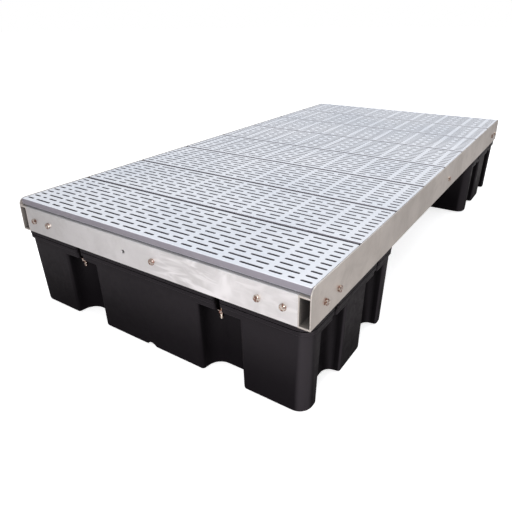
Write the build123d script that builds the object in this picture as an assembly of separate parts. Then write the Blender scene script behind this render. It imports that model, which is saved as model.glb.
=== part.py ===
from build123d import *
import math
import os

# Platform-style spill containment pallet, in millimetres.
#
# An aluminium frame carries eight loose slotted planks, and two moulded sump
# tubs are bolted under its two ends. Frame of reference: the origin is on the
# floor under the centre of the pallet, X runs across, Y runs along, Z is up.
# "Front" is the -Y end and "left" is the -X side.

INCH = 25.4

# ---------------------------------------------------------------- pallet sizes
PALLET_WIDTH = 48 * INCH
PALLET_LENGTH = 96 * INCH
TUB_HEIGHT = 302.0
FRAME_DEPTH = 3.75 * INCH
LIP_HEIGHT = 26.4
LIP_END_RADIUS = 25.0

HALF_WIDTH = PALLET_WIDTH / 2
HALF_LENGTH = PALLET_LENGTH / 2
FRAME_BOTTOM = TUB_HEIGHT
FRAME_TOP = FRAME_BOTTOM + FRAME_DEPTH
BOLT_LINE_Z = FRAME_BOTTOM + FRAME_DEPTH / 2

# ------------------------------------------------------- aluminium extrusions
TUBE_WIDTH = 1.5 * INCH
OUTER_WALL = 3.2
INNER_WALL = 4.4
FLAT_WALL = 5.0
EXTRUSION_EDGE_RADIUS = 1.2
CHANNEL_DEPTH = 2 * INCH
CHANNEL_WEB = 5.0
CHANNEL_EDGE_RADIUS = 2.0
HALF_TUBE = TUBE_WIDTH / 2
STRINGER_INNER_X = HALF_WIDTH - TUBE_WIDTH
WEB_INNER_Y = HALF_LENGTH - CHANNEL_WEB

# --------------------------------------------------------------- bolt layout
FIRST_BOLT = 80.0
SECOND_BOLT = 160.0
CENTRE_BOLT_X = 64.0
MIDDLE_BOLT_Y = HALF_TUBE + 60.0
CLEARANCE_RADIUS = 6.75
DRILL_LENGTH = 3 * TUBE_WIDTH

# ------------------------------------------------------------ angle brackets
BRACKET_THICKNESS = 6.4
BRACKET_HEIGHT = 3 * INCH
BRACKET_CORNER_RADIUS = 6.0
CORNER_LEG_X_HOLES = (FIRST_BOLT - TUBE_WIDTH, SECOND_BOLT - TUBE_WIDTH)
CORNER_LEG_Y_HOLES = (FIRST_BOLT - CHANNEL_WEB, SECOND_BOLT - CHANNEL_WEB)
MIDDLE_LEG_Y_HOLES = (MIDDLE_BOLT_Y - HALF_TUBE,)
CENTRE_LEG_X_HOLES = (CENTRE_BOLT_X - HALF_TUBE,)
CENTRE_LEG_Y_HOLES = (70.0, 110.0)
LEG_END_MARGIN = 28.0

# ---------------------------------------------------------------- fasteners
BOLT_RADIUS = INCH / 4
HEX_ACROSS_FLATS = 0.75 * INCH
HEX_SIDES = 6
HEAD_HEIGHT = 7.9
NUT_HEIGHT = 11.1
NUT_BORE_RADIUS = 6.4
WASHER_RADIUS = 13.5
WASHER_THICKNESS = 2.5
HEX_CHAMFER = 1.2
TIP_CHAMFER = 1.2
SHORT_BOLT = 1.25 * INCH
LONG_BOLT = 2.5 * INCH
CENTRE_BOLT = 2.75 * INCH
TUB_BOLT = 3.5 * INCH

# ------------------------------------------------------------- slotted planks
PLANK_COUNT = 8
PLANK_PITCH = 304.2
PLANK_WIDTH = 291.5
PLANK_LENGTH = 1210.0
PLANK_HEIGHT = 25.4
PLANK_TOP_PLATE = 4.0
PLANK_SKIRT = 6.0
PLANK_EDGE_RADIUS = 3.0
PLANK_CORNER_RADIUS = 4.0
SKIRT_UNDERCUT = 3.0
SKIRT_UNDERCUT_HEIGHT = 4.0
RIB_PITCH = 6 * INCH
RIB_THICKNESS = 5.0
RIBS_EACH_SIDE = 3
ROW_COUNT = 10
ROW_PITCH = 27.3
ROW_RIB = 3.0
SLOT_WIDTH = 8.5
SLOT_GAP = 16.4
LONG_SLOT = 78.2
MEDIUM_SLOT = RIB_PITCH - LONG_SLOT - 2 * SLOT_GAP
SHORT_SLOT = LONG_SLOT - MEDIUM_SLOT - SLOT_GAP
END_SLOT = 34.5
SLOT_PAIRS = 6
END_RIB_X = RIBS_EACH_SIDE * RIB_PITCH + LONG_SLOT + SLOT_GAP

# ------------------------------------------------------------- moulded tubs
TUB_EDGE_GAP = 1.6
TUB_LENGTH_X = PALLET_WIDTH - 2 * TUB_EDGE_GAP
TUB_LENGTH_Y = 24.5 * INCH
TUB_CENTRE_Y = HALF_LENGTH - TUB_EDGE_GAP - TUB_LENGTH_Y / 2
TUB_CORNER_RADIUS = 44.0
TUB_WALL = 5.0
TUB_FLOOR = 6.0
TUB_BOTTOM_INSET = 15.5
TUB_BAND_INSET = 6.5
TUB_BOTTOM_ROUND = 9.0
BOTTOM_ROUND_ANGLES = (0, 30, 60, 90)
RIM_BANDS = ((12.0, 0.0), (4.0, 3.5), (12.0, 1.0))
LEDGE_DROP = 48.0
LEDGE_Z = TUB_HEIGHT - LEDGE_DROP
RIM_PLATE = 5.0
OPENING_MARGIN_X = 52.0
OPENING_MARGIN_Y = 60.0
OPENING_RADIUS = 40.0
RECESS_HALF_WIDTH = 77.5
RECESS_FLARE = 8.0
RECESS_MOUTH_RADIUS = 9.0
RECESS_DEPTH_END = 66.0
RECESS_RADIUS_END = 48.0
RECESS_DEPTH_SIDE = 47.0
RECESS_RADIUS_SIDE = 32.0
NOTCH_HALF_WIDTH = 10.5
NOTCH_MOUTH_RADIUS = 7.0
NOTCH_INNER_RADIUS = 10.0
RECESS_X = 12 * INCH
RECESS_Y = 6 * INCH
CHANNEL_HALF_WIDTH = 24.0
CHANNEL_RISE = 16.0
TUB_BOLT_FROM_END = 27.0
SIDE_NOTCH_DEPTH = 27.0

FRONT = -1
REAR = 1
LEFT = -1
RIGHT = 1
END_NAMES = {FRONT: "front", REAR: "rear"}
SIDE_NAMES = {LEFT: "left", RIGHT: "right"}


# ------------------------------------------------------------------- helpers
def block(x_span, y_span, z_span):
    """A box given by its low and high value on each axis."""
    size = [high - low for low, high in (x_span, y_span, z_span)]
    centre = [(low + high) / 2 for low, high in (x_span, y_span, z_span)]
    return Pos(*centre) * Box(*size)


def rod_x(radius, length, x, y, z):
    """A cylinder along X, centred on the given point."""
    return Pos(x, y, z) * Rot(0, 90, 0) * Cylinder(radius, length)


def rod_y(radius, length, x, y, z):
    """A cylinder along Y, centred on the given point."""
    return Pos(x, y, z) * Rot(90, 0, 0) * Cylinder(radius, length)


def rod_z(radius, length, x, y, z):
    """A cylinder along Z, centred on the given point."""
    return Pos(x, y, z) * Cylinder(radius, length)


def save(name, shape):
    """Write one node to its own STEP file."""
    shape.label = name
    export_step(shape, os.path.join("parts", name + ".step"))


# ------------------------------------------------------------ bolt positions
def end_bolt_xs():
    """X of the bolts through one end beam."""
    near = HALF_WIDTH - FIRST_BOLT
    far = HALF_WIDTH - SECOND_BOLT
    return (-near, -far, -CENTRE_BOLT_X, CENTRE_BOLT_X, far, near)


def side_bolt_ys():
    """Y of the bolts through one side stringer."""
    near = HALF_LENGTH - FIRST_BOLT
    far = HALF_LENGTH - SECOND_BOLT
    return (-near, -far, MIDDLE_BOLT_Y, far, near)


def cross_bolt_xs():
    """X of the middle-bracket bolts through the cross beam."""
    near = STRINGER_INNER_X - CORNER_LEG_X_HOLES[0]
    far = STRINGER_INNER_X - CORNER_LEG_X_HOLES[1]
    return (-near, -far, far, near)


def tub_bolts(end):
    """Where the bolts that hang one tub stand, as (x, y)."""
    y = end * (HALF_LENGTH - TUB_BOLT_FROM_END)
    return [(x, y) for x in (-RECESS_X, RECESS_X)]


# --------------------------------------------------------------------- frame
def side_stringer(side):
    """Hollow side rail, open at both ends, with a thin lip that holds the deck."""
    x_outer = HALF_WIDTH
    x_inner = STRINGER_INNER_X
    y_span = (-HALF_LENGTH, HALF_LENGTH)
    rail = block((x_inner, x_outer), y_span, (FRAME_BOTTOM, FRAME_TOP))
    low_edges = rail.edges().filter_by(Axis.Y).group_by(Axis.Z)[0]
    rail = fillet(low_edges, EXTRUSION_EDGE_RADIUS)
    hollow = block(
        (x_inner + INNER_WALL, x_outer - OUTER_WALL),
        y_span,
        (FRAME_BOTTOM + FLAT_WALL, FRAME_TOP - FLAT_WALL),
    )
    lip = block(
        (x_outer - OUTER_WALL, x_outer), y_span, (FRAME_TOP, FRAME_TOP + LIP_HEIGHT)
    )
    lip = fillet(lip.edges().filter_by(Axis.X).group_by(Axis.Z)[-1], LIP_END_RADIUS)
    rail = rail + lip - hollow
    for y in side_bolt_ys():
        rail -= rod_x(CLEARANCE_RADIUS, DRILL_LENGTH, x_outer, y, BOLT_LINE_Z)
    if side == LEFT:
        rail = mirror(rail, about=Plane.YZ)
    return rail


def end_beam(end):
    """Channel between the stringers, open towards the middle of the pallet."""
    x_span = (-STRINGER_INNER_X, STRINGER_INNER_X)
    z_span = (FRAME_BOTTOM, FRAME_TOP)
    inner_y = HALF_LENGTH - CHANNEL_DEPTH
    beam = block(x_span, (inner_y, HALF_LENGTH), z_span)
    outer_edges = beam.edges().filter_by(Axis.X).group_by(Axis.Y)[-1]
    beam = fillet(outer_edges, CHANNEL_EDGE_RADIUS)
    beam -= block(
        x_span,
        (inner_y, WEB_INNER_Y),
        (FRAME_BOTTOM + FLAT_WALL, FRAME_TOP - FLAT_WALL),
    )
    for x in end_bolt_xs():
        beam -= rod_y(CLEARANCE_RADIUS, 4 * CHANNEL_WEB, x, HALF_LENGTH, BOLT_LINE_Z)
    for x, y in tub_bolts(REAR):
        beam -= rod_z(CLEARANCE_RADIUS, 2 * FLAT_WALL, x, y, FRAME_BOTTOM)
    if end == FRONT:
        beam = mirror(beam, about=Plane.XZ)
    return beam


def rectangular_tube(x_span, y_span, hollow_x_span, hollow_y_span):
    """Frame-height tube with an end-to-end hollow."""
    tube = block(x_span, y_span, (FRAME_BOTTOM, FRAME_TOP))
    return tube - block(
        hollow_x_span,
        hollow_y_span,
        (FRAME_BOTTOM + OUTER_WALL, FRAME_TOP - OUTER_WALL),
    )


def cross_beam():
    """Tube across the middle of the frame, between the stringers."""
    x_span = (-STRINGER_INNER_X, STRINGER_INNER_X)
    wall_y = HALF_TUBE - OUTER_WALL
    beam = rectangular_tube(x_span, (-HALF_TUBE, HALF_TUBE), x_span, (-wall_y, wall_y))
    for x in cross_bolt_xs() + (-CENTRE_BOLT_X, CENTRE_BOLT_X):
        beam -= rod_y(CLEARANCE_RADIUS, 2 * TUBE_WIDTH, x, 0, BOLT_LINE_Z)
    return beam


def centre_stringer_bolt_ys():
    """Y of the bolts through the rear centre stringer."""
    at_cross_beam = [HALF_TUBE + hole for hole in CENTRE_LEG_Y_HOLES]
    at_end_beam = [WEB_INNER_Y - hole for hole in CENTRE_LEG_Y_HOLES]
    return at_cross_beam + at_end_beam


def centre_stringer(end):
    """Tube under the middle of the planks, from the cross beam to an end beam."""
    y_span = (HALF_TUBE, HALF_LENGTH - CHANNEL_DEPTH)
    wall_x = HALF_TUBE - OUTER_WALL
    tube = rectangular_tube((-HALF_TUBE, HALF_TUBE), y_span, (-wall_x, wall_x), y_span)
    for y in centre_stringer_bolt_ys():
        tube -= rod_x(CLEARANCE_RADIUS, 2 * TUBE_WIDTH, 0, y, BOLT_LINE_Z)
    if end == FRONT:
        tube = mirror(tube, about=Plane.XZ)
    return tube


# ------------------------------------------------------------------ brackets
def angle_bracket(x_holes, y_holes):
    """Angle with its outer corner on the origin and its legs along +X and +Y."""
    leg_x = x_holes[-1] + LEG_END_MARGIN
    leg_y = y_holes[-1] + LEG_END_MARGIN
    height = (BOLT_LINE_Z - BRACKET_HEIGHT / 2, BOLT_LINE_Z + BRACKET_HEIGHT / 2)
    along_x = block((0, leg_x), (0, BRACKET_THICKNESS), height)
    along_y = block((0, BRACKET_THICKNESS), (0, leg_y), height)
    angle = along_x + along_y
    end_x = angle.edges().filter_by(Axis.Y).group_by(Axis.X)[-1]
    end_y = angle.edges().filter_by(Axis.X).group_by(Axis.Y)[-1]
    angle = fillet(end_x + end_y, BRACKET_CORNER_RADIUS)
    for hole in x_holes:
        angle -= rod_y(CLEARANCE_RADIUS, 4 * BRACKET_THICKNESS, hole, 0, BOLT_LINE_Z)
    for hole in y_holes:
        angle -= rod_x(CLEARANCE_RADIUS, 4 * BRACKET_THICKNESS, 0, hole, BOLT_LINE_Z)
    return angle


def place_bracket(bracket, corner_x, corner_y, x_sign, y_sign):
    """Put the bracket's corner on a point, with its legs along the given signs."""
    if x_sign < 0:
        bracket = mirror(bracket, about=Plane.YZ)
    if y_sign < 0:
        bracket = mirror(bracket, about=Plane.XZ)
    return Pos(corner_x, corner_y, 0) * bracket


def corner_bracket(end, side):
    """Bracket inside one corner of the frame."""
    bracket = angle_bracket(CORNER_LEG_X_HOLES, CORNER_LEG_Y_HOLES)
    return place_bracket(
        bracket, side * STRINGER_INNER_X, end * WEB_INNER_Y, -side, -end
    )


def middle_bracket(side):
    """Bracket behind the cross beam, against one side stringer."""
    bracket = angle_bracket(CORNER_LEG_X_HOLES, MIDDLE_LEG_Y_HOLES)
    return place_bracket(bracket, side * STRINGER_INNER_X, HALF_TUBE, -side, REAR)


def end_centre_bracket(end, side):
    """Bracket between one end beam and the side of the centre stringer."""
    bracket = angle_bracket(CENTRE_LEG_X_HOLES, CENTRE_LEG_Y_HOLES)
    return place_bracket(bracket, side * HALF_TUBE, end * WEB_INNER_Y, side, -end)


def cross_centre_bracket(end, side):
    """Bracket between the cross beam and the side of a centre stringer."""
    bracket = angle_bracket(CENTRE_LEG_X_HOLES, CENTRE_LEG_Y_HOLES)
    return place_bracket(bracket, side * HALF_TUBE, end * HALF_TUBE, side, end)


# ----------------------------------------------------------------- fasteners
def hexagon(height):
    """Hexagonal prism on Z = 0 with its top corners turned off."""
    flats = RegularPolygon(HEX_ACROSS_FLATS / 2, HEX_SIDES, major_radius=False)
    prism = extrude(flats, height)
    corner_radius = HEX_ACROSS_FLATS / math.sqrt(3)
    turned = Pos(0, 0, height / 2) * Cylinder(corner_radius, height)
    turned = chamfer(turned.edges().group_by(Axis.Z)[-1], HEX_CHAMFER)
    return prism & turned


def bolt(length):
    """Hex bolt standing on its shank's end: the shank runs from Z = 0 down."""
    shank = Pos(0, 0, -length / 2) * Cylinder(BOLT_RADIUS, length)
    shank = chamfer(shank.edges().group_by(Axis.Z)[0], TIP_CHAMFER)
    return hexagon(HEAD_HEIGHT) + shank


def nut():
    """Hex nut that hangs below Z = 0, turned corners downwards."""
    body = mirror(hexagon(NUT_HEIGHT), about=Plane.XY)
    return body - Cylinder(NUT_BORE_RADIUS, 4 * NUT_HEIGHT)


def washer():
    """Flat washer that hangs below Z = 0."""
    disc = Cylinder(WASHER_RADIUS, WASHER_THICKNESS)
    ring = disc - Cylinder(CLEARANCE_RADIUS, 2 * WASHER_THICKNESS)
    return Pos(0, 0, -WASHER_THICKNESS / 2) * ring


class BoltedJoint:
    """One bolt, its nut and its washers, clamped on a stack of plates.

    `seat` is the point on the head side of the stack, and `turn` is the
    rotation that takes the head's direction from +Z to where it points. Every
    nut has a washer, and the head has one where `washer_under_head` is true.
    """

    def __init__(self, seat, turn, grip, length, washer_under_head=False):
        self.place = Pos(*seat) * turn
        self.grip = grip
        self.length = length
        self.head_height = WASHER_THICKNESS if washer_under_head else 0.0

    def bolt(self):
        return self.place * Pos(0, 0, self.head_height) * bolt(self.length)

    def head_washer(self):
        return self.place * Pos(0, 0, self.head_height) * washer()

    def nut_washer(self):
        return self.place * Pos(0, 0, -self.grip) * washer()

    def nut(self):
        return self.place * Pos(0, 0, -self.grip - WASHER_THICKNESS) * nut()


HEAD_TOWARDS = {
    "+X": Rot(0, 90, 0),
    "-X": Rot(0, -90, 0),
    "+Y": Rot(-90, 0, 0),
    "-Y": Rot(90, 0, 0),
    "+Z": Rot(0, 0, 0),
}


def end_beam_joints():
    """Short bolts from outside through the end beams into their brackets.

    The front beam's left centre hole is empty.
    """
    joints = []
    grip = CHANNEL_WEB + BRACKET_THICKNESS
    for end, turn in ((FRONT, HEAD_TOWARDS["-Y"]), (REAR, HEAD_TOWARDS["+Y"])):
        for x in end_bolt_xs():
            if end == FRONT and x == -CENTRE_BOLT_X:
                continue
            seat = (x, end * HALF_LENGTH, BOLT_LINE_Z)
            joints.append(BoltedJoint(seat, turn, grip, SHORT_BOLT))
    return joints


def stringer_joints():
    """Long bolts through a hollow member and one bracket."""
    joints = []
    grip = TUBE_WIDTH + BRACKET_THICKNESS
    for side, turn in ((LEFT, HEAD_TOWARDS["-X"]), (RIGHT, HEAD_TOWARDS["+X"])):
        for y in side_bolt_ys():
            seat = (side * HALF_WIDTH, y, BOLT_LINE_Z)
            joints.append(BoltedJoint(seat, turn, grip, LONG_BOLT))
    for x in cross_bolt_xs():
        seat = (x, -HALF_TUBE, BOLT_LINE_Z)
        joints.append(BoltedJoint(seat, HEAD_TOWARDS["-Y"], grip, LONG_BOLT))
    return joints


def centre_joints():
    """Bolts through a bracket, a centre tube and the bracket opposite."""
    joints = []
    grip = TUBE_WIDTH + 2 * BRACKET_THICKNESS
    outer = HALF_TUBE + BRACKET_THICKNESS
    for x in (-CENTRE_BOLT_X, CENTRE_BOLT_X):
        seat = (x, -outer, BOLT_LINE_Z)
        joints.append(BoltedJoint(seat, HEAD_TOWARDS["-Y"], grip, CENTRE_BOLT))
    for end in (FRONT, REAR):
        for y in centre_stringer_bolt_ys():
            seat = (outer, end * y, BOLT_LINE_Z)
            joints.append(BoltedJoint(seat, HEAD_TOWARDS["+X"], grip, CENTRE_BOLT))
    return joints


def tub_joints():
    """Vertical bolts that hang the tubs from the frame's lower wall."""
    grip = FLAT_WALL + LEDGE_DROP
    seat_z = FRAME_BOTTOM + FLAT_WALL
    return [
        BoltedJoint((x, y, seat_z), HEAD_TOWARDS["+Z"], grip, TUB_BOLT, True)
        for end in (FRONT, REAR)
        for x, y in tub_bolts(end)
    ]


# -------------------------------------------------------------------- planks
def row_slots(row):
    """Centre and length of each slot of one row, from the left end.

    Even-numbered rows, counted from zero at the front, run medium then long
    inside each bay, and the other rows are their mirror images.
    """
    slots = [(-END_RIB_X - (SLOT_GAP + END_SLOT) / 2, END_SLOT)]
    cursor = -END_RIB_X + SLOT_GAP / 2
    lengths = [LONG_SLOT] + [MEDIUM_SLOT, LONG_SLOT] * SLOT_PAIRS + [MEDIUM_SLOT, SHORT_SLOT]
    for length in lengths:
        slots.append((cursor + length / 2, length))
        cursor += length + SLOT_GAP
    slots.append((cursor + END_SLOT / 2, END_SLOT))
    if row % 2:
        slots = [(-centre, length) for centre, length in slots]
    return slots


def row_y(row):
    """Distance of a slot row from the plank's centre line."""
    return (row - (ROW_COUNT - 1) / 2) * ROW_PITCH


def plank_slots():
    """All the drain slots of one plank, as one flat sketch."""
    slots = []
    for row in range(ROW_COUNT):
        for x, length in row_slots(row):
            slots.append(Pos(x, row_y(row)) * SlotOverall(length, SLOT_WIDTH))
    return Sketch(children=slots)


def spans_between(ribs, rib_thickness, limit):
    """The open spans left between ribs, out to a wall at plus or minus limit."""
    lows = [-limit] + [rib + rib_thickness / 2 for rib in ribs]
    highs = [rib - rib_thickness / 2 for rib in ribs] + [limit]
    return list(zip(lows, highs))


def plank_pockets():
    """The hollows between the ribs under one plank, as one flat sketch."""
    cross_ribs = [index * RIB_PITCH for index in range(-RIBS_EACH_SIDE, RIBS_EACH_SIDE + 1)]
    cross_ribs = [-END_RIB_X] + cross_ribs + [END_RIB_X]
    row_ribs = [(row_y(row) + row_y(row + 1)) / 2 for row in range(ROW_COUNT - 1)]
    x_spans = spans_between(cross_ribs, RIB_THICKNESS, PLANK_LENGTH / 2 - PLANK_SKIRT)
    y_spans = spans_between(row_ribs, ROW_RIB, PLANK_WIDTH / 2 - PLANK_SKIRT)
    pockets = []
    for x_low, x_high in x_spans:
        for y_low, y_high in y_spans:
            centre = Pos((x_low + x_high) / 2, (y_low + y_high) / 2)
            pockets.append(centre * Rectangle(x_high - x_low, y_high - y_low))
    return Sketch(children=pockets)


def plank():
    """One slotted plank, with its underside on Z = 0 and its centre on the axis."""
    outline = RectangleRounded(PLANK_LENGTH, PLANK_WIDTH, PLANK_CORNER_RADIUS)
    body = extrude(outline, PLANK_HEIGHT)
    body = fillet(body.faces().sort_by(Axis.Z)[-1].edges(), PLANK_EDGE_RADIUS)
    foot = RectangleRounded(
        PLANK_LENGTH - 2 * SKIRT_UNDERCUT,
        PLANK_WIDTH - 2 * SKIRT_UNDERCUT,
        PLANK_CORNER_RADIUS - SKIRT_UNDERCUT,
    )
    body -= extrude(outline - foot, SKIRT_UNDERCUT_HEIGHT)
    body -= extrude(plank_pockets(), PLANK_HEIGHT - PLANK_TOP_PLATE)
    return body - extrude(plank_slots(), PLANK_HEIGHT)


def plank_y(index):
    """Centre line of a plank, counted from zero at the front."""
    return (index - (PLANK_COUNT - 1) / 2) * PLANK_PITCH


# ---------------------------------------------------------------------- tubs
def rounded_outline(corners):
    """Face inside a polygon whose corners (x, y, radius) are rounded."""
    points = [(Vector(x, y), radius) for x, y, radius in corners]
    starts, middles, ends = [], [], []
    for index, (corner, radius) in enumerate(points):
        before = (points[index - 1][0] - corner).normalized()
        after = (points[(index + 1) % len(points)][0] - corner).normalized()
        half_angle = math.radians(before.get_angle(after)) / 2
        reach = radius / math.tan(half_angle)
        inward = (before + after).normalized()
        centre = corner + inward * (radius / math.sin(half_angle))
        starts.append(corner + before * reach)
        middles.append(centre - inward * radius)
        ends.append(corner + after * reach)
    edges = []
    for index in range(len(points)):
        edges.append(ThreePointArc(starts[index], middles[index], ends[index]))
        edges.append(Line(ends[index], starts[(index + 1) % len(points)]))
    return make_face(edges)


def side_corners(half_run, face, centres, offset, radii, recess):
    """Corners of one side, as (along, outward, radius), from its first corner.

    `recess` is half the width of each recess at the face, how much each of its
    walls leans in, its depth and its inner radius. `offset` moves every wall
    into the body.
    """
    corner_radius, mouth_radius = radii
    half_width, flare, depth, inner_radius = recess
    corners = [(-half_run, face, corner_radius - offset)]
    for centre in centres:
        outer = half_width + offset
        inner = outer - flare
        corners += [
            (centre - outer, face, mouth_radius - offset / 2),
            (centre - inner, face - depth, inner_radius),
            (centre + inner, face - depth, inner_radius),
            (centre + outer, face, mouth_radius - offset / 2),
        ]
    return corners


def tub_outline(inset, offset, radii, end_recess, side_recess):
    """Plan of the tub around the origin, with two recesses in each of its sides."""
    half_x = TUB_LENGTH_X / 2 - inset - offset
    half_y = TUB_LENGTH_Y / 2 - inset - offset
    xs, ys = (-RECESS_X, RECESS_X), (-RECESS_Y, RECESS_Y)
    long_side = side_corners(half_x, half_y, xs, offset, radii, end_recess)
    short_side = side_corners(half_y, half_x, ys, offset, radii, side_recess)
    corners = [(u, -v, r) for u, v, r in long_side]
    corners += [(v, u, r) for u, v, r in short_side]
    corners += [(-u, v, r) for u, v, r in long_side]
    corners += [(-v, -u, r) for u, v, r in short_side]
    return rounded_outline(corners)


def recessed_outline(inset, offset=0.0):
    """Plan with the wide recesses that give hands and spanners their room."""
    mouth = (RECESS_HALF_WIDTH, RECESS_FLARE)
    return tub_outline(
        inset,
        offset,
        (TUB_CORNER_RADIUS, RECESS_MOUTH_RADIUS),
        mouth + (RECESS_DEPTH_END, RECESS_RADIUS_END),
        mouth + (RECESS_DEPTH_SIDE, RECESS_RADIUS_SIDE),
    )


def notched_outline(inset, offset=0.0):
    """Plan of the rim, with its narrow notches; the tub bolts stand in the end ones."""
    end_depth = TUB_BOLT_FROM_END + NOTCH_HALF_WIDTH - TUB_EDGE_GAP - inset
    return tub_outline(
        inset,
        offset,
        (TUB_CORNER_RADIUS, NOTCH_MOUTH_RADIUS),
        (NOTCH_HALF_WIDTH, 0.0, end_depth, NOTCH_INNER_RADIUS),
        (NOTCH_HALF_WIDTH, 0.0, SIDE_NOTCH_DEPTH - inset, NOTCH_INNER_RADIUS),
    )


def inset_at(z):
    """How far the tapered wall has come in at a height above the floor."""
    return TUB_BOTTOM_INSET + (TUB_BAND_INSET - TUB_BOTTOM_INSET) * z / LEDGE_Z


def lower_body():
    """Tapered outside of the tub below the bolt ledges, rounded into its floor."""
    sections = []
    for degrees in BOTTOM_ROUND_ANGLES:
        angle = math.radians(degrees)
        z = TUB_BOTTOM_ROUND * (1 - math.cos(angle))
        rounding = TUB_BOTTOM_ROUND * (1 - math.sin(angle))
        sections.append(Pos(0, 0, z) * recessed_outline(inset_at(z), rounding))
    sections.append(Pos(0, 0, LEDGE_Z) * recessed_outline(TUB_BAND_INSET))
    return loft(sections, ruled=True)


def upper_body():
    """Bolt ledge and stepped rim of the tub, up to the frame."""
    rim_height = sum(height for height, _ in RIM_BANDS)
    ledge_height = LEDGE_DROP - rim_height
    body = Pos(0, 0, LEDGE_Z) * extrude(notched_outline(TUB_BAND_INSET), ledge_height)
    top = TUB_HEIGHT
    for height, inset in RIM_BANDS:
        body += Pos(0, 0, top - height) * extrude(notched_outline(inset), height)
        top -= height
    return body


def cavity():
    """Hollow of the tub, open upwards through the rim plate."""
    ledge_top = LEDGE_Z + TUB_WALL
    low = Pos(0, 0, TUB_FLOOR) * recessed_outline(inset_at(TUB_FLOOR), TUB_WALL)
    high = Pos(0, 0, ledge_top) * recessed_outline(inset_at(ledge_top), TUB_WALL)
    hollow = loft([low, high], ruled=True)
    rim_underside = TUB_HEIGHT - RIM_PLATE
    neck = extrude(notched_outline(TUB_BAND_INSET, TUB_WALL), rim_underside - ledge_top)
    opening = RectangleRounded(
        TUB_LENGTH_X - 2 * OPENING_MARGIN_X,
        TUB_LENGTH_Y - 2 * OPENING_MARGIN_Y,
        OPENING_RADIUS,
    )
    hollow += Pos(0, 0, ledge_top) * neck
    hollow += Pos(0, 0, rim_underside) * extrude(opening, RIM_PLATE)
    return hollow


def strap_channel(extra=0.0):
    """Rounded channel across the underside of the tub, along Y."""
    radius = (CHANNEL_HALF_WIDTH**2 + CHANNEL_RISE**2) / (2 * CHANNEL_RISE)
    centre_z = CHANNEL_RISE - radius
    return rod_y(radius + extra, 2 * TUB_LENGTH_Y, 0, 0, centre_z)


def tub(end):
    """One thin-walled sump tub."""
    shell = lower_body() + upper_body()
    shell -= cavity() - strap_channel(TUB_WALL)
    shell -= strap_channel()
    return Pos(0, end * TUB_CENTRE_Y, 0) * shell


# ------------------------------------------------------------------ assembly
def build_frame():
    for side, side_name in SIDE_NAMES.items():
        save("side_stringer_" + side_name, side_stringer(side))
        save("middle_bracket_" + side_name, middle_bracket(side))
    for end, end_name in END_NAMES.items():
        save("end_beam_" + end_name, end_beam(end))
        save("centre_stringer_" + end_name, centre_stringer(end))
        for side, side_name in SIDE_NAMES.items():
            place = end_name + "_" + side_name
            save("corner_bracket_" + place, corner_bracket(end, side))
            save("end_centre_bracket_" + place, end_centre_bracket(end, side))
            save("cross_centre_bracket_" + place, cross_centre_bracket(end, side))
    save("cross_beam", cross_beam())


def build_fasteners():
    ends, longs = end_beam_joints(), stringer_joints()
    centres, tubs = centre_joints(), tub_joints()
    frame = ends + longs + centres
    groups = {
        "end_beam_bolts": [joint.bolt() for joint in ends],
        "stringer_bolts": [joint.bolt() for joint in longs],
        "centre_bolts": [joint.bolt() for joint in centres],
        "frame_nut_washers": [joint.nut_washer() for joint in frame],
        "frame_nuts": [joint.nut() for joint in frame],
        "tub_bolts": [joint.bolt() for joint in tubs],
        "tub_head_washers": [joint.head_washer() for joint in tubs],
        "tub_nut_washers": [joint.nut_washer() for joint in tubs],
        "tub_nuts": [joint.nut() for joint in tubs],
    }
    for name, pieces in groups.items():
        save(name, Compound(children=pieces))


def build_deck():
    one_plank = plank()
    for index in range(PLANK_COUNT):
        place = Pos(0, plank_y(index), FRAME_TOP)
        save("deck_plank_" + str(index + 1), place * one_plank)


def build_tubs():
    for end, end_name in END_NAMES.items():
        save("sump_tub_" + end_name, tub(end))


def main():
    os.makedirs("parts", exist_ok=True)
    build_frame()
    build_fasteners()
    build_deck()
    build_tubs()


main()
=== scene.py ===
import math
import random

import bmesh
import bpy
from mathutils import Matrix, Vector

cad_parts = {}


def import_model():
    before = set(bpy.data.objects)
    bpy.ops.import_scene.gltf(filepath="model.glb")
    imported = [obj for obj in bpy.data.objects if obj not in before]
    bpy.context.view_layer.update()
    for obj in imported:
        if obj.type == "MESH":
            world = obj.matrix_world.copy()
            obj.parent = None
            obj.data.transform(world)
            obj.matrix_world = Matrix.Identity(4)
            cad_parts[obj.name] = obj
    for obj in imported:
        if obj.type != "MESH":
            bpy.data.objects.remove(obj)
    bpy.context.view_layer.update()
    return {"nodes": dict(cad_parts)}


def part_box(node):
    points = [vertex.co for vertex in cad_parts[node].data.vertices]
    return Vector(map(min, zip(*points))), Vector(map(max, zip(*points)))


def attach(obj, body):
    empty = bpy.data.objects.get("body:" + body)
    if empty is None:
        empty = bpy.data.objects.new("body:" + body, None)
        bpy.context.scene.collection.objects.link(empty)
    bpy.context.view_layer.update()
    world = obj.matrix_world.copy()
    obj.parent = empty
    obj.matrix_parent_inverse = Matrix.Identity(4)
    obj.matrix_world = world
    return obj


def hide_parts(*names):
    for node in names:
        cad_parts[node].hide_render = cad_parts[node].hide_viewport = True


# Looks of a slotted spill containment pallet: eight light grey planks on an
# aluminium frame over two black moulded tubs. Metres, Z up, front towards -Y.

MM = 0.001

# --------------------------------------------------------------------- camera
CAMERA_PLACE = (1.0824, -2.1364, 1.0354)
CAMERA_AZIMUTH = math.radians(33.61)
CAMERA_ELEVATION = math.radians(23.147)
CAMERA_ROLL = math.radians(-0.562)
CAMERA_LENS = 34.553
CAMERA_SHIFT = (-0.0155, -0.0613)
SENSOR_WIDTH = 36.0
CLIP_START = 0.05
CLIP_END = 200.0

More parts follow.
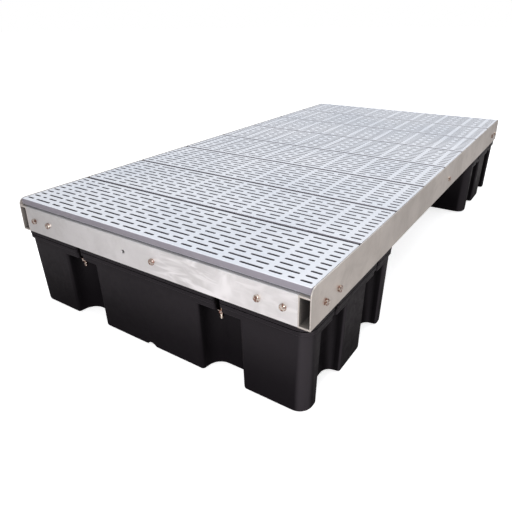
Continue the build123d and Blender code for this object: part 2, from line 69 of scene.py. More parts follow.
# ---------------------------------------------------------------------- looks
DECK_LIGHT = (0.79, 0.81, 0.86)
DECK_DULL = (0.71, 0.74, 0.80)
# near black: dirt flecks, and painted shade in the slots, seams and along the planks' feet
DECK_DIRT_AND_SHADE = (0.022, 0.022, 0.028)
# painted shade on the planks' upright faces, which get less light than the top
DECK_SIDE_SHADE = (0.265, 0.25, 0.285)
BEAM_LIGHT = (0.86, 0.85, 0.86)
BEAM_DULL = (0.70, 0.69, 0.69)
RAIL_LIGHT = (0.72, 0.67, 0.62)
RAIL_DULL = (0.55, 0.51, 0.47)
INNER_LIGHT = (0.55, 0.55, 0.55)
INNER_DULL = (0.38, 0.38, 0.38)
STEEL_LIGHT = (0.78, 0.72, 0.64)
STEEL_DULL = (0.25, 0.13, 0.10)
# painted shade towards the beam's left end
BEAM_SHADED = (0.50, 0.49, 0.48)
# painted shade deep in the frame's hollows
METAL_HOLLOW_SHADE = (0.13, 0.12, 0.12)
# white of the swirl marks, a painted highlight
SWIRL_HIGHLIGHT = (1.0, 0.99, 1.0)
# painted highlight along the metal's edges
EDGE_HIGHLIGHT = (0.95, 0.94, 0.94)
TUB_DARK = (0.0085, 0.0072, 0.0088)
# painted shade deep in the tubs' recesses
TUB_HOLLOW_SHADE = (0.0025, 0.0022, 0.0026)
# scuffs, with painted sheen: lighter higher up, on rounded corners and along edges
TUB_SCUFF_AND_SHEEN = (0.085, 0.076, 0.086)

# ----------------------------------- how far each look reaches, full then none
END_FACE_DEPTH = (5 * MM, 4 * MM)
SIDE_FACE_DEPTH = (3 * MM, 2 * MM)
# depths and shares of the painted shade on the deck
SLOT_SHADE_DEPTH = (2.6 * MM, 0.4 * MM)
RIB_SHADE_DEPTH = (13 * MM, 9 * MM)
FOOT_SHADE_HEIGHT = (4 * MM, 7 * MM)
FOOT_SHADE_DEPTH = (9 * MM, 8 * MM)
SEAM_REACH = (3.5 * MM, 4.5 * MM)
SEAM_SHADE_OFFSET = 3.4 * MM
RIB_SHADE = 0.3
FOOT_SHADE = 0.9
# where the beam's swirl marks, painted white as a highlight, lie
SWIRL_START_X = (0.02, 0.12)
SWIRL_END_X = (0.30, 0.46)
SWIRL_REMAINDER = 0.35
SWIRL_TILT = -0.5
SWIRL_SCALE = (7.0, 7.0, 34.0)
SHADED_X = (-0.62, 0.05)
SHADED_SHARE = 0.62
METAL_HOLLOW_REACH = 90 * MM
# painted light: the tubs lighter towards the top, between these heights
TUB_TOP_LIGHT_Z = (0.06, 0.25)
TUB_GLOSS_Z = (0.0, 0.26)
TUB_CORNER_HIGHLIGHT_REACH = (60 * MM, 45 * MM)
TUB_HOLLOW_REACH = 160 * MM
LINES_ACROSS_GRAIN = 900.0
LINES_ALONG_GRAIN = 6.0
BEVEL_SAMPLES = 6
SHELTER_SAMPLES = 8

# ---------------------------------------------------------------------- stage
FLOOR_RADIUS = 40.0
FLOOR_SIDES = 96
FLOOR_GAP = 0.5 * MM
FLOOR_PALE = (0.90, 0.90, 0.90)
FLOOR_WHITE = (0.94, 0.94, 0.94)
FLOOR_GLOW = 0.72
FLOOR_IN_MIRRORS = (0.62, 0.59, 0.58, 1.0)
ROOM_BELOW = (0.30, 0.28, 0.27, 1.0)
ROOM_MIDDLE = (0.50, 0.50, 0.50, 1.0)
ROOM_ABOVE = (0.85, 0.87, 0.90, 1.0)
ROOM_MIDDLE_AT = 0.35
ROOM_STRENGTH = 0.8
WHITE = (1.0, 1.0, 1.0, 1.0)
LIGHTS = {
    "top_light": {
        "place": (0.2, 0.8, 4.0),
        "target": (0.0, 0.1, 0.4),
        "size": (4.5, 5.0),
        "energy": 106.0,
        "colour": (0.97, 0.98, 1.0),
    },
    "front_light": {
        "place": (0.9, -2.9, 0.85),
        "target": (0.35, -1.5, 0.1),
        "size": (1.0, 0.7),
        "energy": 24.0,
        "colour": (1.0, 0.98, 0.99),
    },
    "side_light": {
        "place": (4.2, -1.6, 1.8),
        "target": (0.6, -0.6, 0.3),
        "size": (2.4, 1.8),
        "energy": 6.5,
        "colour": (1.0, 0.96, 0.92),
    },
}

# ------------------------------------------------------------------ fasteners
HEX_ACROSS_FLATS = 19.05 * MM
HEAD_HEIGHT = 7.9 * MM
SHANK_RADIUS = 6.35 * MM
THREAD_PITCH = 1.95 * MM
THREAD_DEPTH = 1.0 * MM
THREADED_LENGTH = 34 * MM
RINGS_PER_PITCH = 5
ROUND_STEPS = 24
HEX_STEPS = 48
NUT_BORE = 6.38 * MM
HEX_SIDE_ANGLE = 60.0
CORNER_CONE_RADIUS = HEX_ACROSS_FLATS * 0.475
CORNER_CONE_SLOPE = math.tan(math.radians(30.0))
HEAD_DISH_RADIUS = HEX_ACROSS_FLATS * 0.40
HEAD_DISH_DEPTH = 0.5 * MM
THREAD_RUN_IN = 4.0
TIP_TAPER = 1.5 * MM
BORE_CHAMFER = 0.7 * MM
CLEAR_OF_SHANK = 8 * MM
WELD_DISTANCE = 0.01 * MM
SHARP_ANGLE = math.radians(32.0)
FASTENER_SEED = 11
BOLT_NODES = ("end_beam_bolts", "stringer_bolts", "centre_bolts", "tub_bolts")
NUT_NODES = ("frame_nuts", "tub_nuts")


# -------------------------------------------------------------- node building
class Graph:
    """One material's nodes, with short ways to add and join them."""

    def __init__(self, name):
        self.material = bpy.data.materials.new(name)
        self.material.use_nodes = True
        self.tree = self.material.node_tree
        self.tree.nodes.clear()
        self.output = self.tree.nodes.new("ShaderNodeOutputMaterial")
        self.place = self.add("ShaderNodeTexCoord").outputs["Object"]

    def add(self, kind, inputs=None, **settings):
        """A node with its settings made and its inputs set or joined."""
        node = self.tree.nodes.new(kind)
        for key, value in settings.items():
            setattr(node, key, value)
        for key, value in (inputs or {}).items():
            self.feed(node.inputs[key], value)
        return node

    def feed(self, socket, value):
        """Give a socket a link, a number or a colour."""
        if isinstance(value, bpy.types.NodeSocket):
            self.tree.links.new(value, socket)
        elif hasattr(value, "__len__") and socket.type == "RGBA":
            socket.default_value = tuple(value) + (1.0,) * (4 - len(value))
        else:
            socket.default_value = value

    def stretched(self, scale):
        """Position with each axis scaled, so that a pattern runs along one way."""
        node = self.add("ShaderNodeMapping", {"Vector": self.place, "Scale": scale})
        return node.outputs["Vector"]

    def noise(self, scale, detail=3.0, roughness=0.5, distortion=0.0, vector=None):
        """Cloudy pattern from 0 to 1, over the object unless given a vector."""
        source = self.place if vector is None else vector
        inputs = {
            "Vector": source,
            "Scale": scale,
            "Detail": detail,
            "Roughness": roughness,
            "Distortion": distortion,
        }
        return self.add("ShaderNodeTexNoise", inputs).outputs["Fac"]

    def ranged(self, value, low, high, out_low=0.0, out_high=1.0):
        """Map low..high to out_low..out_high, held at the ends."""
        inputs = {
            "Value": value,
            "From Min": low,
            "From Max": high,
            "To Min": out_low,
            "To Max": out_high,
        }
        node = self.add("ShaderNodeMapRange", inputs, interpolation_type="SMOOTHSTEP")
        return node.outputs["Result"]

    def maths(self, operation, first, second=0.0):
        """One step of arithmetic."""
        node = self.add("ShaderNodeMath", {0: first, 1: second}, operation=operation)
        return node.outputs[0]

    def blend(self, share, first, second):
        """Colour that goes from first to second as share goes from 0 to 1."""
        node = self.add("ShaderNodeMix", data_type="RGBA")
        self.feed(node.inputs["Factor"], share)
        self.feed(node.inputs[6], first)
        self.feed(node.inputs[7], second)
        return node.outputs[2]

    def bump(self, height, distance, normal):
        """Normals tilted by a height pattern of the given depth."""
        inputs = {"Height": height, "Distance": distance, "Strength": 1.0, "Normal": normal}
        return self.add("ShaderNodeBump", inputs).outputs["Normal"]

    def rounded(self, radius):
        """Normals softened within a radius of every sharp edge."""
        node = self.add("ShaderNodeBevel", {"Radius": radius}, samples=BEVEL_SAMPLES)
        return node.outputs["Normal"]

    def face_normal(self):
        """The mesh's own flat normal."""
        return self.add("ShaderNodeNewGeometry").outputs["True Normal"]

    def edge_wear_and_highlight(self, radius, low, high):
        """0 on flat faces, rising to 1 on sharp edges, where edge wear and a painted highlight
        go.
        """
        inputs = {0: self.rounded(radius), 1: self.face_normal()}
        dot = self.add("ShaderNodeVectorMath", inputs, operation="DOT_PRODUCT")
        away = self.maths("SUBTRACT", 1.0, dot.outputs["Value"])
        return self.ranged(away, low, high)

    def shade_in_hollows(self, distance, low, high):
        """Painted shade: 1 deep in the object's own hollows and corners, falling to 0 in the
        open.
        """
        settings = {"samples": SHELTER_SAMPLES, "only_local": True}
        node = self.add("ShaderNodeAmbientOcclusion", {"Distance": distance}, **settings)
        return self.ranged(node.outputs["AO"], low, high, 1.0, 0.0)

    def upright_corners(self, low, high):
        """1 where an upright face is turned between the two plan directions."""
        smooth = self.add("ShaderNodeNewGeometry").outputs["Normal"]
        parts = self.add("ShaderNodeSeparateXYZ", {"Vector": smooth})
        turned = self.maths("MULTIPLY", parts.outputs["X"], parts.outputs["Y"])
        return self.ranged(self.maths("ABSOLUTE", turned), low, high)

    def axis(self, name):
        """One coordinate of the position."""
        parts = self.add("ShaderNodeSeparateXYZ", {"Vector": self.place})
        return parts.outputs[name]

    def finish(self, **inputs):
        """Close the tree with one principled surface."""
        named = {key.replace("_", " "): value for key, value in inputs.items()}
        surface = self.add("ShaderNodeBsdfPrincipled", named)
        self.tree.links.new(surface.outputs["BSDF"], self.output.inputs["Surface"])
        return self.material


# ------------------------------------------------------------------ materials
def near_seam(graph, low, seam_gap):
    """1 beside the gaps between planks, 0 elsewhere."""
    _, first_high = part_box("deck_plank_1")
    pitch = first_high[1] - low.y + seam_gap
    along = graph.maths("SUBTRACT", graph.axis("Y"), low.y - seam_gap / 2)
    away = graph.maths("PINGPONG", along, pitch / 2)
    near, far = SEAM_REACH
    return graph.ranged(away, seam_gap / 2 + near, seam_gap / 2 + far, 1.0, 0.0)


def deck_shade_mask(graph, box, seam_gap):
    """Painted shade: 1 in slots and seams and along the planks' feet, 0 on their open faces.
    """
    low, high = box
    middle_y = (low.y + high.y) / 2
    end_y = high.y - middle_y
    from_middle = graph.maths("ABSOLUTE", graph.maths("SUBTRACT", graph.axis("Y"), middle_y))
    deep, shallow = END_FACE_DEPTH
    inside_y = graph.ranged(from_middle, end_y - deep, end_y - shallow, 1.0, 0.0)
    across = graph.maths("ABSOLUTE", graph.axis("X"))
    deep, shallow = SIDE_FACE_DEPTH
    inside_x = graph.ranged(across, high.x - deep, high.x - shallow, 1.0, 0.0)
    raised = graph.maths("MULTIPLY", near_seam(graph, low, seam_gap), SEAM_SHADE_OFFSET)
    height = graph.maths("ADD", graph.axis("Z"), raised)
    deep, shallow = SLOT_SHADE_DEPTH
    below = graph.ranged(height, high.z - deep, high.z - shallow, 1.0, 0.0)
    in_shade = graph.maths("MULTIPLY", below, graph.maths("MULTIPLY", inside_x, inside_y))
    deep, shallow = RIB_SHADE_DEPTH
    ribs = graph.ranged(graph.axis("Z"), high.z - deep, high.z - shallow, RIB_SHADE, 1.0)
    in_shade = graph.maths("MULTIPLY", in_shade, ribs)
    lower, upper = FOOT_SHADE_HEIGHT
    foot = graph.ranged(graph.axis("Z"), low.z + lower, low.z + upper, FOOT_SHADE, 0.0)
    deep, shallow = FOOT_SHADE_DEPTH
    at_end = graph.ranged(from_middle, end_y - deep, end_y - shallow)
    return graph.maths("MAXIMUM", in_shade, graph.maths("MULTIPLY", foot, at_end))


def deck_plastic(box, seam_gap):
    """Light grey moulded plastic with a fine grain and dirt flecks, with painted shade in its
    slots and seams, along its feet and on its upright faces.

    `box` holds the lowest and highest corner of the whole deck.
    """
    graph = Graph("deck_plastic")
    cloudy = graph.noise(2.2, 4.0, 0.55)
    patch = graph.noise(18.0, 5.0, 0.6)
    fleck = graph.noise(260.0, 3.0, 0.7)
    grain = graph.noise(900.0, 2.0, 0.6)
    colour = graph.blend(graph.ranged(cloudy, 0.35, 0.7), DECK_LIGHT, DECK_DULL)
    colour = graph.blend(graph.ranged(patch, 0.58, 0.85, 0.0, 0.3), colour, DECK_DULL)
    colour = graph.blend(graph.ranged(fleck, 0.70, 0.80, 0.0, 0.25), colour, DECK_DIRT_AND_SHADE)
    in_shade = deck_shade_mask(graph, box, seam_gap)
    # painted shade: near black in the slots and seams and along the planks' feet
    colour = graph.blend(in_shade, colour, DECK_DIRT_AND_SHADE)
    # painted shade: upright faces darker than the top
    up = graph.add("ShaderNodeSeparateXYZ", {"Vector": graph.face_normal()}).outputs["Z"]
    upright = graph.ranged(graph.maths("ABSOLUTE", up), 0.6, 0.9, 1.0, 0.0)
    shaded_sides = graph.maths("MULTIPLY", upright, graph.maths("SUBTRACT", 1.0, in_shade))
    colour = graph.blend(shaded_sides, colour, DECK_SIDE_SHADE)
    roughness = graph.ranged(patch, 0.3, 0.7, 0.42, 0.56)
    normal = graph.bump(grain, 0.12 * MM, graph.rounded(0.8 * MM))
    return graph.finish(
        Base_Color=colour, Roughness=roughness, Normal=normal, Specular_IOR_Level=0.35
    )


def swirl_marks_and_highlight(graph):
    """Curved swirl marks painted white as a highlight, strongest right of the middle of a
    beam.
    """
    near = graph.ranged(graph.axis("X"), *SWIRL_START_X)
    far = graph.ranged(graph.axis("X"), *SWIRL_END_X, 1.0, SWIRL_REMAINDER)
    spread = graph.maths("MULTIPLY", near, far)
    turn = {"Vector": graph.place, "Rotation": (0.0, SWIRL_TILT, 0.0), "Scale": SWIRL_SCALE}
    tilted = graph.add("ShaderNodeMapping", turn)
    arcs = graph.noise(1.0, 2.0, 0.5, 1.2, vector=tilted.outputs["Vector"])
    clouds = graph.noise(11.0, 3.0, 0.5, 0.8)
    sharp = graph.ranged(arcs, 0.42, 0.68)
    soft = graph.ranged(clouds, 0.45, 0.75)
    return graph.maths("MULTIPLY", spread, graph.maths("MAXIMUM", sharp, soft))


def aluminium(name, light, dull, metallic, grain_axis, marks, swirls_and_shade=False):
    """Mill-finish aluminium with lines along one axis and cloudy handling marks, a painted
    highlight along its edges and painted shade in its hollows; a beam also gets painted shade
    towards its left end and swirl marks painted white as a highlight.
    """
    graph = Graph(name)
    across = [LINES_ACROSS_GRAIN] * 3
    across["XYZ".index(grain_axis)] = LINES_ALONG_GRAIN
    lines = graph.noise(1.0, 3.0, 0.6, vector=graph.stretched(tuple(across)))
    broad = graph.noise(3.0, 4.0, 0.6)
    smudge = graph.noise(marks, 5.0, 0.65, 0.6)
    dulled = graph.ranged(smudge, 0.45, 0.75, 0.0, 0.8)
    colour = graph.blend(graph.ranged(broad, 0.35, 0.7), light, dull)
    colour = graph.blend(dulled, colour, dull)
    colour = graph.blend(graph.ranged(lines, 0.4, 0.8, 0.0, 0.3), colour, dull)
    if swirls_and_shade:
        # painted shade: the beam darker towards its left end
        shaded = graph.ranged(graph.axis("X"), *SHADED_X, SHADED_SHARE, 0.0)
        colour = graph.blend(shaded, colour, BEAM_SHADED)
        # painted highlight: swirl marks painted white
        colour = graph.blend(swirl_marks_and_highlight(graph), colour, SWIRL_HIGHLIGHT)
    # edge wear and a painted highlight along the edges
    colour = graph.blend(graph.edge_wear_and_highlight(1.5 * MM, 0.05, 0.4), colour, EDGE_HIGHLIGHT)
    # painted shade deep in hollows
    colour = graph.blend(graph.shade_in_hollows(METAL_HOLLOW_REACH, 0.10, 0.55), colour, METAL_HOLLOW_SHADE)
    roughness = graph.ranged(smudge, 0.35, 0.75, 0.34, 0.5)
    normal = graph.bump(lines, 0.02 * MM, graph.rounded(1.0 * MM))
    return graph.finish(
        Base_Color=colour,
        Metallic=metallic,
        Roughness=roughness,
        Anisotropic=0.4,
        Normal=normal,
    )


def stainless():
    """Bright stainless steel with fine turning marks, darker reddish-brown patches, and edge
    wear with a painted highlight.
    """
    graph = Graph("stainless_fastener")
    dark_patches = graph.noise(160.0, 4.0, 0.6)
    scratch = graph.noise(1400.0, 3.0, 0.7)
    # darker reddish-brown patches
    colour = graph.blend(graph.ranged(dark_patches, 0.41, 0.57), STEEL_LIGHT, STEEL_DULL)
    # edge wear and a painted highlight along the edges
    colour = graph.blend(graph.edge_wear_and_highlight(0.6 * MM, 0.08, 0.5), colour, STEEL_LIGHT)
    roughness = graph.ranged(scratch, 0.3, 0.8, 0.10, 0.24)
    normal = graph.bump(scratch, 0.02 * MM, graph.rounded(0.35 * MM))
    return graph.finish(
        Base_Color=colour, Metallic=1.0, Roughness=roughness, Normal=normal
    )


def tub_plastic(half_width):
    """Black rotomoulded plastic: soft sheen, orange peel and scuffed edges, with painted light
    on the edges, on the rounded corners and towards the top, and painted shade in the
    recesses.

    `half_width` is half the tub's size along X, where its rounded corners are.
    """
    graph = Graph("tub_plastic")
    broad = graph.noise(3.5, 4.0, 0.55)
    peel = graph.noise(420.0, 3.0, 0.6)
    scuff = graph.noise(34.0, 6.0, 0.7, 0.8)
    streak = graph.noise(1.0, 4.0, 0.7, vector=graph.stretched((60.0, 60.0, 9.0)))
    # scuffed edges with a painted highlight
    worn_and_lit_edges = graph.edge_wear_and_highlight(4.0 * MM, 0.02, 0.35)
    scuffs_and_edge_sheen = graph.maths("MULTIPLY", worn_and_lit_edges, graph.ranged(scuff, 0.3, 0.7, 0.35, 1.0))
    across = graph.maths("ABSOLUTE", graph.axis("X"))
    # painted highlight on the rounded upright corners
    deep, shallow = TUB_CORNER_HIGHLIGHT_REACH
    outer = graph.ranged(across, half_width - deep, half_width - shallow)
    rounded = graph.maths("MULTIPLY", graph.upright_corners(0.1, 0.45), 0.36)
    rounded = graph.maths("MULTIPLY", rounded, outer)
    # painted light: lighter towards the top
    lit_from_above = graph.ranged(graph.axis("Z"), *TUB_TOP_LIGHT_Z, 0.0, 0.14)
    haze_and_sheen = graph.maths("ADD", lit_from_above, graph.ranged(broad, 0.4, 0.75, 0.0, 0.03))
    haze_and_sheen = graph.maths("ADD", haze_and_sheen, graph.ranged(streak, 0.62, 0.9, 0.0, 0.07))
    haze_and_sheen = graph.maths("MAXIMUM", haze_and_sheen, rounded)
    share = graph.maths("MAXIMUM", scuffs_and_edge_sheen, haze_and_sheen)
    colour = graph.blend(share, TUB_DARK, TUB_SCUFF_AND_SHEEN)
    # painted shade deep in the recesses
    colour = graph.blend(graph.shade_in_hollows(TUB_HOLLOW_REACH, 0.35, 0.92), colour, TUB_HOLLOW_SHADE)
    gloss = graph.ranged(graph.axis("Z"), *TUB_GLOSS_Z, 0.02, 0.06)
    roughness = graph.ranged(scuff, 0.3, 0.75, 0.40, 0.56)
    normal = graph.bump(peel, 0.10 * MM, graph.rounded(3.0 * MM))
    return graph.finish(
        Base_Color=colour, Roughness=roughness, Normal=normal, Specular_IOR_Level=gloss
    )


def deck_box():
    """Lowest and highest corner of all the planks together."""
    first_low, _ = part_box("deck_plank_1")
    _, last_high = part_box("deck_plank_8")
    return Vector(first_low), Vector(last_high)


def plank_gap():
    """Width of the gap between two neighbouring planks."""
    _, first_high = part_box("deck_plank_1")
    second_low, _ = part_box("deck_plank_2")
    return second_low[1] - first_high[1]


def make_materials():
    """Every material, by the name of its slot in the CAD record."""
    tub_half_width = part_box("sump_tub_front")[1][0]
    beam = {"metallic": 0.55, "grain_axis": "X", "marks": 14.0, "swirls_and_shade": True}
    rail = {"metallic": 0.6, "grain_axis": "Y", "marks": 9.0}
    inner = {"metallic": 0.7, "grain_axis": "Y", "marks": 12.0}
    return {
        "deck_plastic": deck_plastic(deck_box(), plank_gap()),
        "brushed_aluminium_beam": aluminium(
            "brushed_aluminium_beam", BEAM_LIGHT, BEAM_DULL, **beam
        ),
        "mill_aluminium_rail": aluminium("mill_aluminium_rail", RAIL_LIGHT, RAIL_DULL, **rail),
        "mill_aluminium_inner": aluminium(
            "mill_aluminium_inner", INNER_LIGHT, INNER_DULL, **inner
        ),
        "stainless_fastener": stainless(),
        "tub_plastic": tub_plastic(tub_half_width),
    }


def dress_nodes(nodes, materials):
    """Give every CAD node the full material of its slot."""
    for node in nodes.values():
        for slot in node.material_slots:
            slot.material = materials[slot.material.name.split(".")[0]]


# ------------------------------------------------------------------ fasteners
def ring(shape, radii, heights):
    """One closed loop of vertices, given a radius and a height per step."""
    count = len(radii)
    loop = []
    for step in range(count):
        angle = 2 * math.pi * step / count
        x = radii[step] * math.cos(angle)
        y = radii[step] * math.sin(angle)
        loop.append(shape.verts.new((x, y, heights[step])))
    return loop


def skin(shape, lower, upper):
    """Quads between two loops of the same length."""
    count = len(lower)
    for step in range(count):
        after = (step + 1) % count
        shape.faces.new((lower[step], lower[after], upper[after], upper[step]))


def hex_radius(step, count):
    """Distance from the axis to the hexagon's side at one step of a turn."""
    angle = 360.0 * step / count
    half_side = HEX_SIDE_ANGLE / 2
    from_flat = (angle + half_side) % HEX_SIDE_ANGLE - half_side
    return HEX_ACROSS_FLATS / 2 / math.cos(math.radians(from_flat))


def hex_loops(shape, low, high, chamfer_low):
    """Loops of a hexagonal block whose corners are turned off by a cone."""
    sides = [hex_radius(step, HEX_STEPS) for step in range(HEX_STEPS)]
    drops = [(side - CORNER_CONE_RADIUS) * CORNER_CONE_SLOPE for side in sides]
    flat = [CORNER_CONE_RADIUS] * HEX_STEPS
    loops = []
    if chamfer_low:
        loops.append(ring(shape, flat, [low] * HEX_STEPS))
        loops.append(ring(shape, sides, [low + drop for drop in drops]))
    else:
        loops.append(ring(shape, sides, [low] * HEX_STEPS))
    loops.append(ring(shape, sides, [high - drop for drop in drops]))
    loops.append(ring(shape, flat, [high] * HEX_STEPS))
    for lower, upper in zip(loops, loops[1:]):
        skin(shape, lower, upper)
    return loops


def thread_radii(height, run_in, tip):
    """Radius at each step of a turn; `run_in` fades the groove in, `tip` is the end."""
    radii = []
    taper = max(0.0, 1.0 - (height - tip) / TIP_TAPER)
    for step in range(ROUND_STEPS):
        turn = height / THREAD_PITCH + step / ROUND_STEPS
        groove = abs(turn % 1.0 - 0.5) * 2.0
        radii.append(SHANK_RADIUS - THREAD_DEPTH * max(groove * run_in, taper))
    return radii


def bolt_shape(length):
    """Hex bolt with a rolled thread: head above Z = 0, shank below."""
    shape = bmesh.new()
    loops = hex_loops(shape, 0.0, HEAD_HEIGHT, False)
    dish_height = HEAD_HEIGHT - HEAD_DISH_DEPTH
    dish = ring(shape, [HEAD_DISH_RADIUS] * HEX_STEPS, [dish_height] * HEX_STEPS)
    skin(shape, loops[-1], dish)
    shape.faces.new(dish)
    shape.faces.new(loops[0][::-1])
    plain = length - THREADED_LENGTH
    rings = round(THREADED_LENGTH / THREAD_PITCH * RINGS_PER_PITCH)
    heights = [0.0, -plain]
    heights += [-plain - THREADED_LENGTH * (index + 1) / rings for index in range(rings)]
    previous = None
    for index, height in enumerate(heights):
        run_in = min(1.0, (index - 1) / THREAD_RUN_IN) if index > 1 else 0.0
        radii = thread_radii(height, run_in, -length)
        loop = ring(shape, radii, [height] * ROUND_STEPS)
        if previous is not None:
            skin(shape, loop, previous)
        previous = loop
    shape.faces.new(previous[::-1])
    return shape


def nut_shape(height):
    """Hex nut from Z = 0 up, turned on both faces, with a countersunk bore."""
    shape = bmesh.new()
    loops = hex_loops(shape, 0.0, height, True)
    wide = [NUT_BORE + BORE_CHAMFER] * HEX_STEPS
    narrow = [NUT_BORE] * HEX_STEPS
    inner = [
        ring(shape, wide, [0.0] * HEX_STEPS),
        ring(shape, narrow, [BORE_CHAMFER] * HEX_STEPS),
        ring(shape, narrow, [height - BORE_CHAMFER] * HEX_STEPS),
        ring(shape, wide, [height] * HEX_STEPS),
    ]
    for lower, upper in zip(inner, inner[1:]):
        skin(shape, upper, lower)
    skin(shape, inner[0], loops[0])
    skin(shape, loops[-1], inner[-1])
    return shape


def loose_parts(node):
    """The points of each separate solid in a CAD node."""
    shape = bmesh.new()
    shape.from_mesh(node.data)
    bmesh.ops.remove_doubles(shape, verts=shape.verts, dist=WELD_DISTANCE)
    parts, seen = [], set()
    for start in shape.verts:
        if start in seen:
            continue
        seen.add(start)
        part, queue = [], [start]
        while queue:
            vert = queue.pop()
            part.append(vert.co.copy())
            for edge in vert.link_edges:
                other = edge.other_vert(vert)
                if other not in seen:
                    seen.add(other)
                    queue.append(other)
        parts.append(part)
    shape.free()
    return parts


def unit(axis):
    """Unit vector along one axis, by its number."""
    return Vector([1.0 if index == axis else 0.0 for index in range(3)])


def extent(points):
    """Lowest and highest corner of some points."""
    low = Vector([min(point[axis] for point in points) for axis in range(3)])
    high = Vector([max(point[axis] for point in points) for axis in range(3)])
    return low, high


def bolt_place(points):
    """Where a bolt's head seats, the way its head points, and its length."""
    low, high = extent(points)
    size = high - low
    axis = max(range(3), key=lambda index: size[index])
    centre = (low + high) / 2
    heights = []
    for point in points:
        from_axis = (point - centre) - (point - centre).project(unit(axis))
        if from_axis.length > CLEAR_OF_SHANK:
            heights.append(point[axis])
    head_high = sum(heights) / len(heights) > centre[axis]
    direction = unit(axis) * (1.0 if head_high else -1.0)
    seat = centre.copy()
    seat[axis] = high[axis] - HEAD_HEIGHT if head_high else low[axis] + HEAD_HEIGHT
    return seat, direction, size[axis] - HEAD_HEIGHT


def nut_place(points):
    """Where a nut starts, the way it points, and its height."""
    low, high = extent(points)
    size = high - low
    axis = min(range(3), key=lambda index: size[index])
    start = (low + high) / 2
    start[axis] = low[axis]
    return start, unit(axis), size[axis]


def fastener_group(node, name, place_of, shape_of, material, dice):
    """One object that stands for every bolt or nut of a CAD node."""
    mesh = bpy.data.meshes.new(name)
    group = bmesh.new()
    for points in loose_parts(node):
        start, direction, length = place_of(points)
        shape = shape_of(length)
        turn = direction.to_track_quat("Z", "Y").to_matrix().to_4x4()
        spin = Matrix.Rotation(dice.uniform(0.0, 2 * math.pi), 4, "Z")
        shape.transform(Matrix.Translation(start) @ turn @ spin)
        part = bpy.data.meshes.new(name + "_part")
        shape.to_mesh(part)
        shape.free()
        group.from_mesh(part)
        bpy.data.meshes.remove(part)
    group.to_mesh(mesh)
    group.free()
    mesh.materials.append(material)
    piece = bpy.data.objects.new(name, mesh)
    bpy.context.collection.objects.link(piece)
    for polygon in mesh.polygons:
        polygon.use_smooth = True
    mesh.set_sharp_from_angle(angle=SHARP_ANGLE)
    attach(piece, "frame")
    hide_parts(node.name)


def make_fasteners(nodes, material):
    """Threaded bolts and turned nuts in place of the plain CAD ones."""
    dice = random.Random(FASTENER_SEED)
    for name in BOLT_NODES:
        piece = "threaded_" + name
        fastener_group(nodes[name], piece, bolt_place, bolt_shape, material, dice)
    for name in NUT_NODES:
        piece = "turned_" + name
        fastener_group(nodes[name], piece, nut_place, nut_shape, material, dice)


# ---------------------------------------------------------------------- stage
def floor_material():
    """Pale floor that mirrors a darker room, and can't be seen from below."""
    graph = Graph("studio_floor")
    speckle = graph.noise(40.0, 3.0)
    pale = graph.blend(speckle, FLOOR_PALE, FLOOR_WHITE)
    lit = graph.add("ShaderNodeBsdfDiffuse", {"Color": pale})
    glow = graph.add("ShaderNodeEmission", {"Color": pale, "Strength": FLOOR_GLOW})
    both = graph.add("ShaderNodeAddShader", {0: lit.outputs[0], 1: glow.outputs[0]})
    room = graph.add("ShaderNodeBsdfDiffuse", {"Color": FLOOR_IN_MIRRORS})
    clear = graph.add("ShaderNodeBsdfTransparent")
    ray = graph.add("ShaderNodeLightPath")
    seen = graph.add(
        "ShaderNodeMixShader",
        {0: ray.outputs["Is Camera Ray"], 1: room.outputs[0], 2: both.outputs[0]},
    )
    back = graph.add("ShaderNodeNewGeometry").outputs["Backfacing"]
    top = graph.add("ShaderNodeMixShader", {0: back, 1: seen.outputs[0], 2: clear.outputs[0]})
    graph.tree.links.new(top.outputs[0], graph.output.inputs["Surface"])
    return graph.material


def make_floor():
    """Large round floor just under the tubs."""
    mesh = bpy.data.meshes.new("studio_floor")
    floor = bpy.data.objects.new("studio_floor", mesh)
    bpy.context.collection.objects.link(floor)
    shape = bmesh.new()
    bmesh.ops.create_circle(shape, cap_ends=True, segments=FLOOR_SIDES, radius=FLOOR_RADIUS)
    shape.to_mesh(mesh)
    shape.free()
    floor.location.z = -FLOOR_GAP
    mesh.materials.append(floor_material())


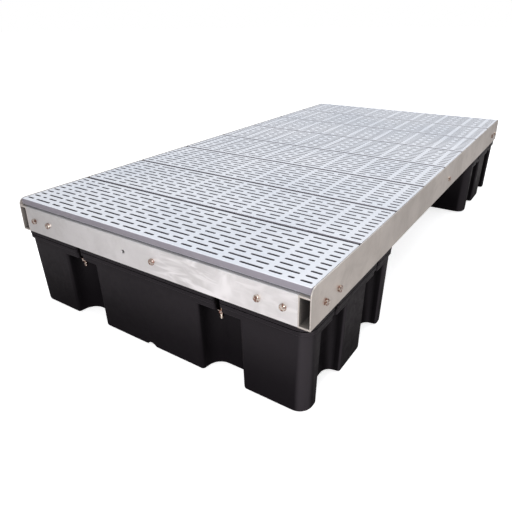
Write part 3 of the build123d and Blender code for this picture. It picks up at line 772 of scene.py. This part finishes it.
def make_world():
    """White backdrop for the camera, and a soft bright-topped room for the rest."""
    world = bpy.data.worlds.new("studio_world")
    world.use_nodes = True
    bpy.context.scene.world = world
    tree = world.node_tree
    tree.nodes.clear()
    out = tree.nodes.new("ShaderNodeOutputWorld")
    place = tree.nodes.new("ShaderNodeTexCoord")
    split = tree.nodes.new("ShaderNodeSeparateXYZ")
    ramp = tree.nodes.new("ShaderNodeValToRGB")
    room = tree.nodes.new("ShaderNodeBackground")
    white = tree.nodes.new("ShaderNodeBackground")
    ray = tree.nodes.new("ShaderNodeLightPath")
    mix = tree.nodes.new("ShaderNodeMixShader")
    links = tree.links
    links.new(place.outputs["Generated"], split.inputs[0])
    links.new(split.outputs["Z"], ramp.inputs[0])
    links.new(ramp.outputs["Color"], room.inputs["Color"])
    links.new(ray.outputs["Is Camera Ray"], mix.inputs[0])
    links.new(room.outputs[0], mix.inputs[1])
    links.new(white.outputs[0], mix.inputs[2])
    links.new(mix.outputs[0], out.inputs["Surface"])
    stops = ramp.color_ramp.elements
    stops[0].position, stops[0].color = 0.0, ROOM_BELOW
    stops[1].position, stops[1].color = 1.0, ROOM_ABOVE
    middle = stops.new(ROOM_MIDDLE_AT)
    middle.color = ROOM_MIDDLE
    room.inputs["Strength"].default_value = ROOM_STRENGTH
    white.inputs["Color"].default_value = WHITE
    white.inputs["Strength"].default_value = 1.0


def area_light(name, place, target, size, energy, colour):
    """Soft rectangular lamp aimed at a point."""
    data = bpy.data.lights.new(name, "AREA")
    data.shape = "RECTANGLE"
    data.size, data.size_y = size
    data.energy = energy
    data.color = colour
    lamp = bpy.data.objects.new(name, data)
    bpy.context.collection.objects.link(lamp)
    lamp.location = place
    aim = Vector(target) - Vector(place)
    lamp.rotation_mode = "QUATERNION"
    lamp.rotation_quaternion = aim.to_track_quat("-Z", "Y")


def make_lights():
    """The studio's lamps."""
    for name, settings in LIGHTS.items():
        area_light(name, **settings)


def make_camera():
    """Camera at the viewing angle of the reference picture."""
    data = bpy.data.cameras.new("photo_camera")
    data.lens = CAMERA_LENS
    data.sensor_width = SENSOR_WIDTH
    data.shift_x, data.shift_y = CAMERA_SHIFT
    data.clip_start, data.clip_end = CLIP_START, CLIP_END
    camera = bpy.data.objects.new("photo_camera", data)
    bpy.context.collection.objects.link(camera)
    turn = (
        Matrix.Rotation(CAMERA_AZIMUTH, 4, "Z")
        @ Matrix.Rotation(math.pi / 2 - CAMERA_ELEVATION, 4, "X")
        @ Matrix.Rotation(CAMERA_ROLL, 4, "Z")
    )
    camera.matrix_world = Matrix.Translation(CAMERA_PLACE) @ turn
    bpy.context.scene.camera = camera


def main():
    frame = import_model()
    bpy.context.scene.view_settings.view_transform = "Standard"
    materials = make_materials()
    dress_nodes(frame["nodes"], materials)
    make_fasteners(frame["nodes"], materials["stainless_fastener"])
    make_floor()
    make_world()
    make_lights()
    make_camera()


main()
